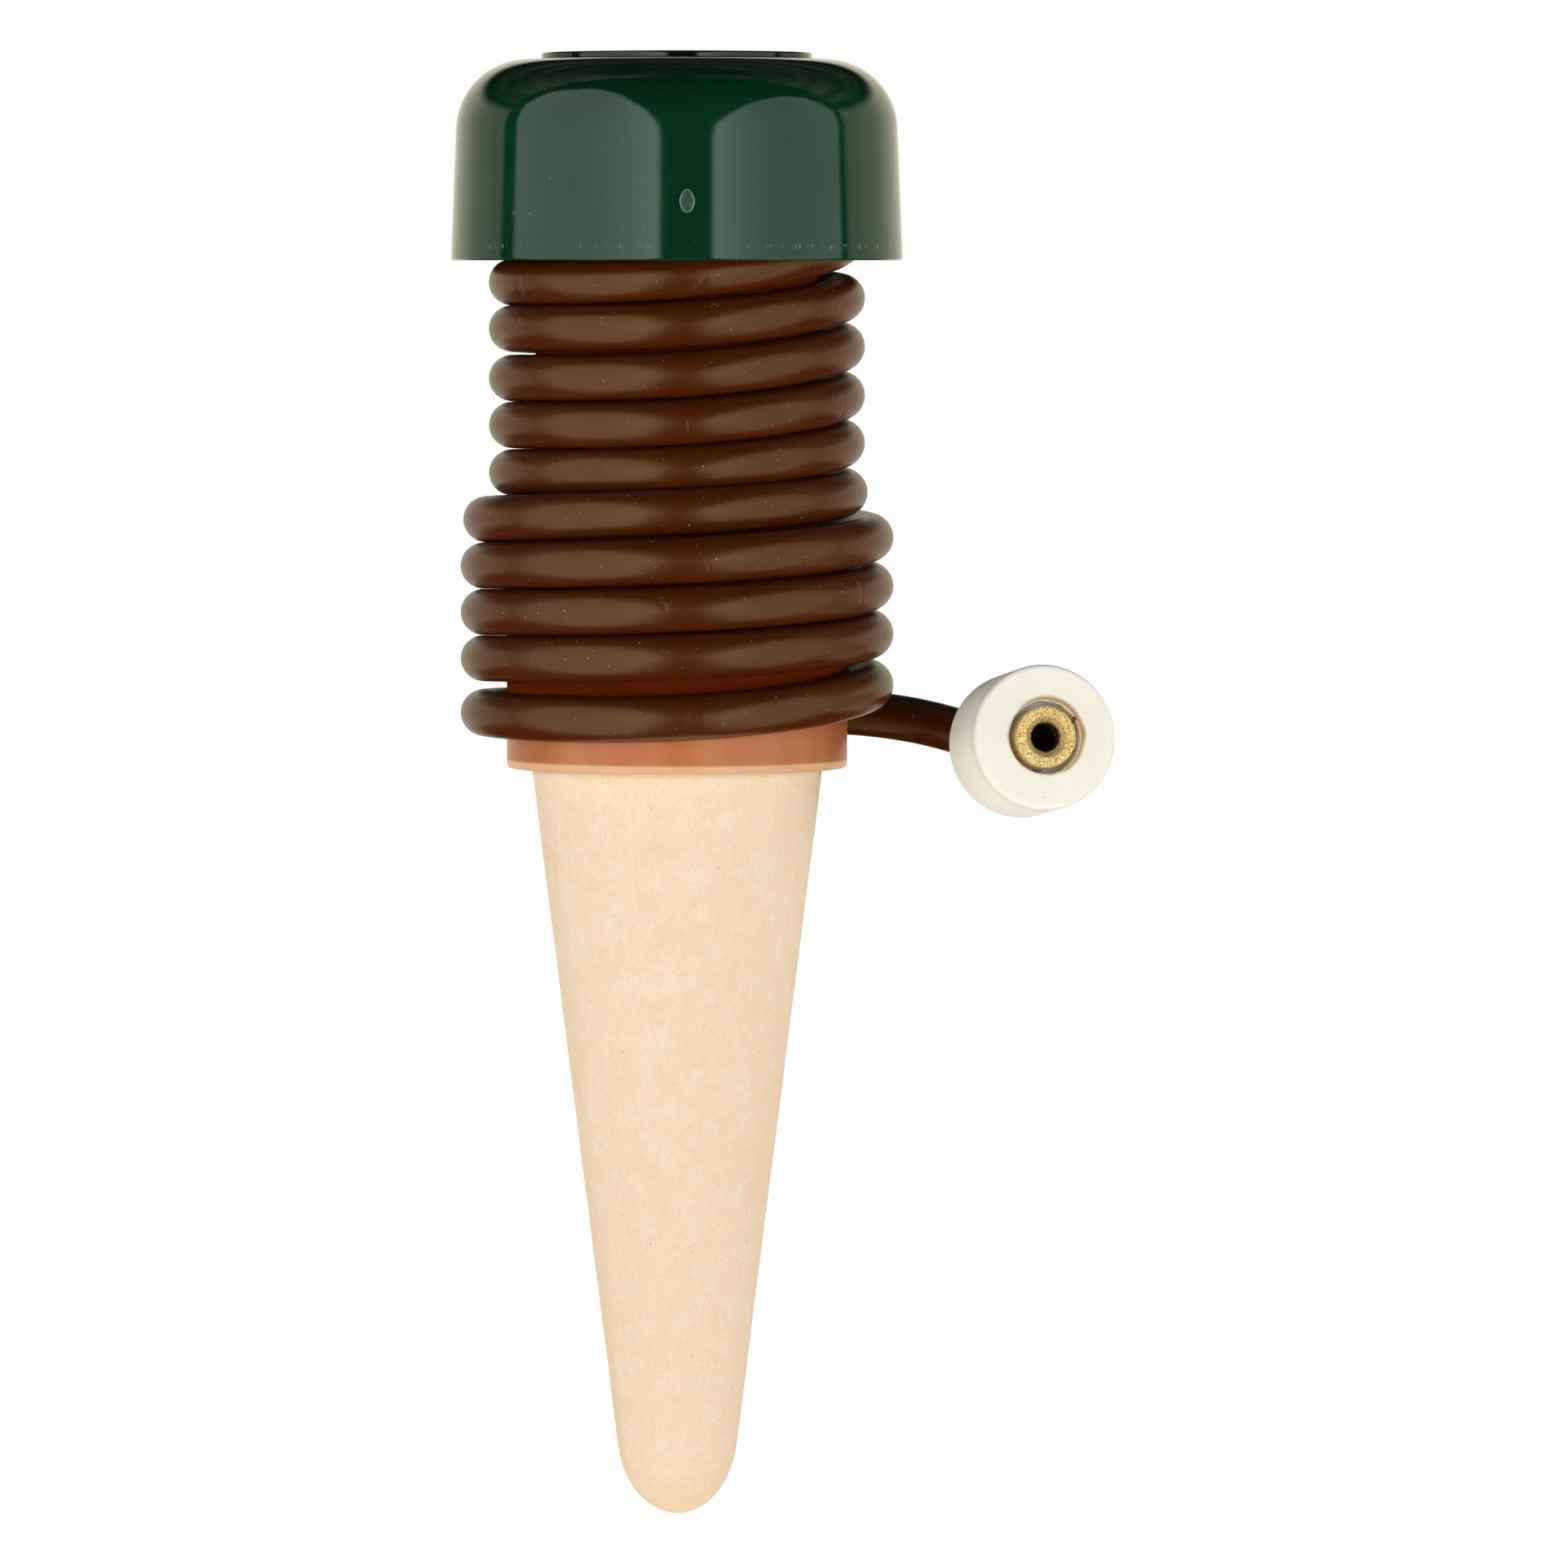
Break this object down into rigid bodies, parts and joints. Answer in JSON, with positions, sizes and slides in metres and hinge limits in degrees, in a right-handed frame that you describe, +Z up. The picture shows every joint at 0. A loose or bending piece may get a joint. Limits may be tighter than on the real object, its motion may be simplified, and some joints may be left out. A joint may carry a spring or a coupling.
{
  "type": "self watering spike",
  "caption": "Hollow clay cone in a plastic collar with a screw cap, wound with a thin supply tube that ends in a ceramic sinker",
  "frame": {"origin": "on the spike's axis, at the collar's lower rim, the line that sits on the soil", "axes": "+Z is up, out of the soil, along the spike's axis; -Y is the pictured front; +X is the side where the tube's loose end leaves the lowest turn"},
  "size_m": [0.0587, 0.0403, 0.13],
  "materials": {
    "clay": "matt, porous, unglazed",
    "adhesive": "cured adhesive, matt",
    "collar_plastic": "satin, slightly translucent terracotta",
    "washer_rubber": "matt black",
    "cap_plastic": "dark green, glossy",
    "plate_plastic": "dark green, glossy, blank",
    "nipple_plastic": "natural nylon",
    "tube_plastic": "brown, satin, dusty",
    "nozzle_brass": "sintered, granular",
    "sinker_ceramic": "off-white, fine matt"
  },
  "bodies": {
    "stake": {"clay_cone": "clay", "bond_ring": "adhesive", "collar": "collar_plastic"},
    "seal": {"seal_washer": "washer_rubber"},
    "head": {"cap": "cap_plastic", "cap_disc": "plate_plastic", "hose_nipple": "nipple_plastic", "tube_winding": "tube_plastic", "tube_tail": "tube_plastic", "inlet_nozzle": "nozzle_brass"},
    "weight": {"sinker": "sinker_ceramic"}
  },
  "joints": [
    {"name": "seal_lift", "type": "slide", "parent": "stake", "child": "seal", "axis": [0, 0, 1], "range_m": [0, 0.006]},
    {"name": "cap_turn", "type": "hinge", "parent": "seal", "child": "head", "pos_m": [0, 0, 0.053], "axis": [0, 0, 1], "range_deg": [0, 720]},
    {"name": "weight_turn", "type": "hinge", "parent": "head", "child": "weight", "pos_m": [0.03144, -0.00358, 0.00244], "axis": [0.2275, -0.9659, 0.1236], "continuous": true}
  ],
  "couplings": [
    {"joint": "seal_lift", "follows": "cap_turn", "m_per_rad": 0.000477}
  ]
}
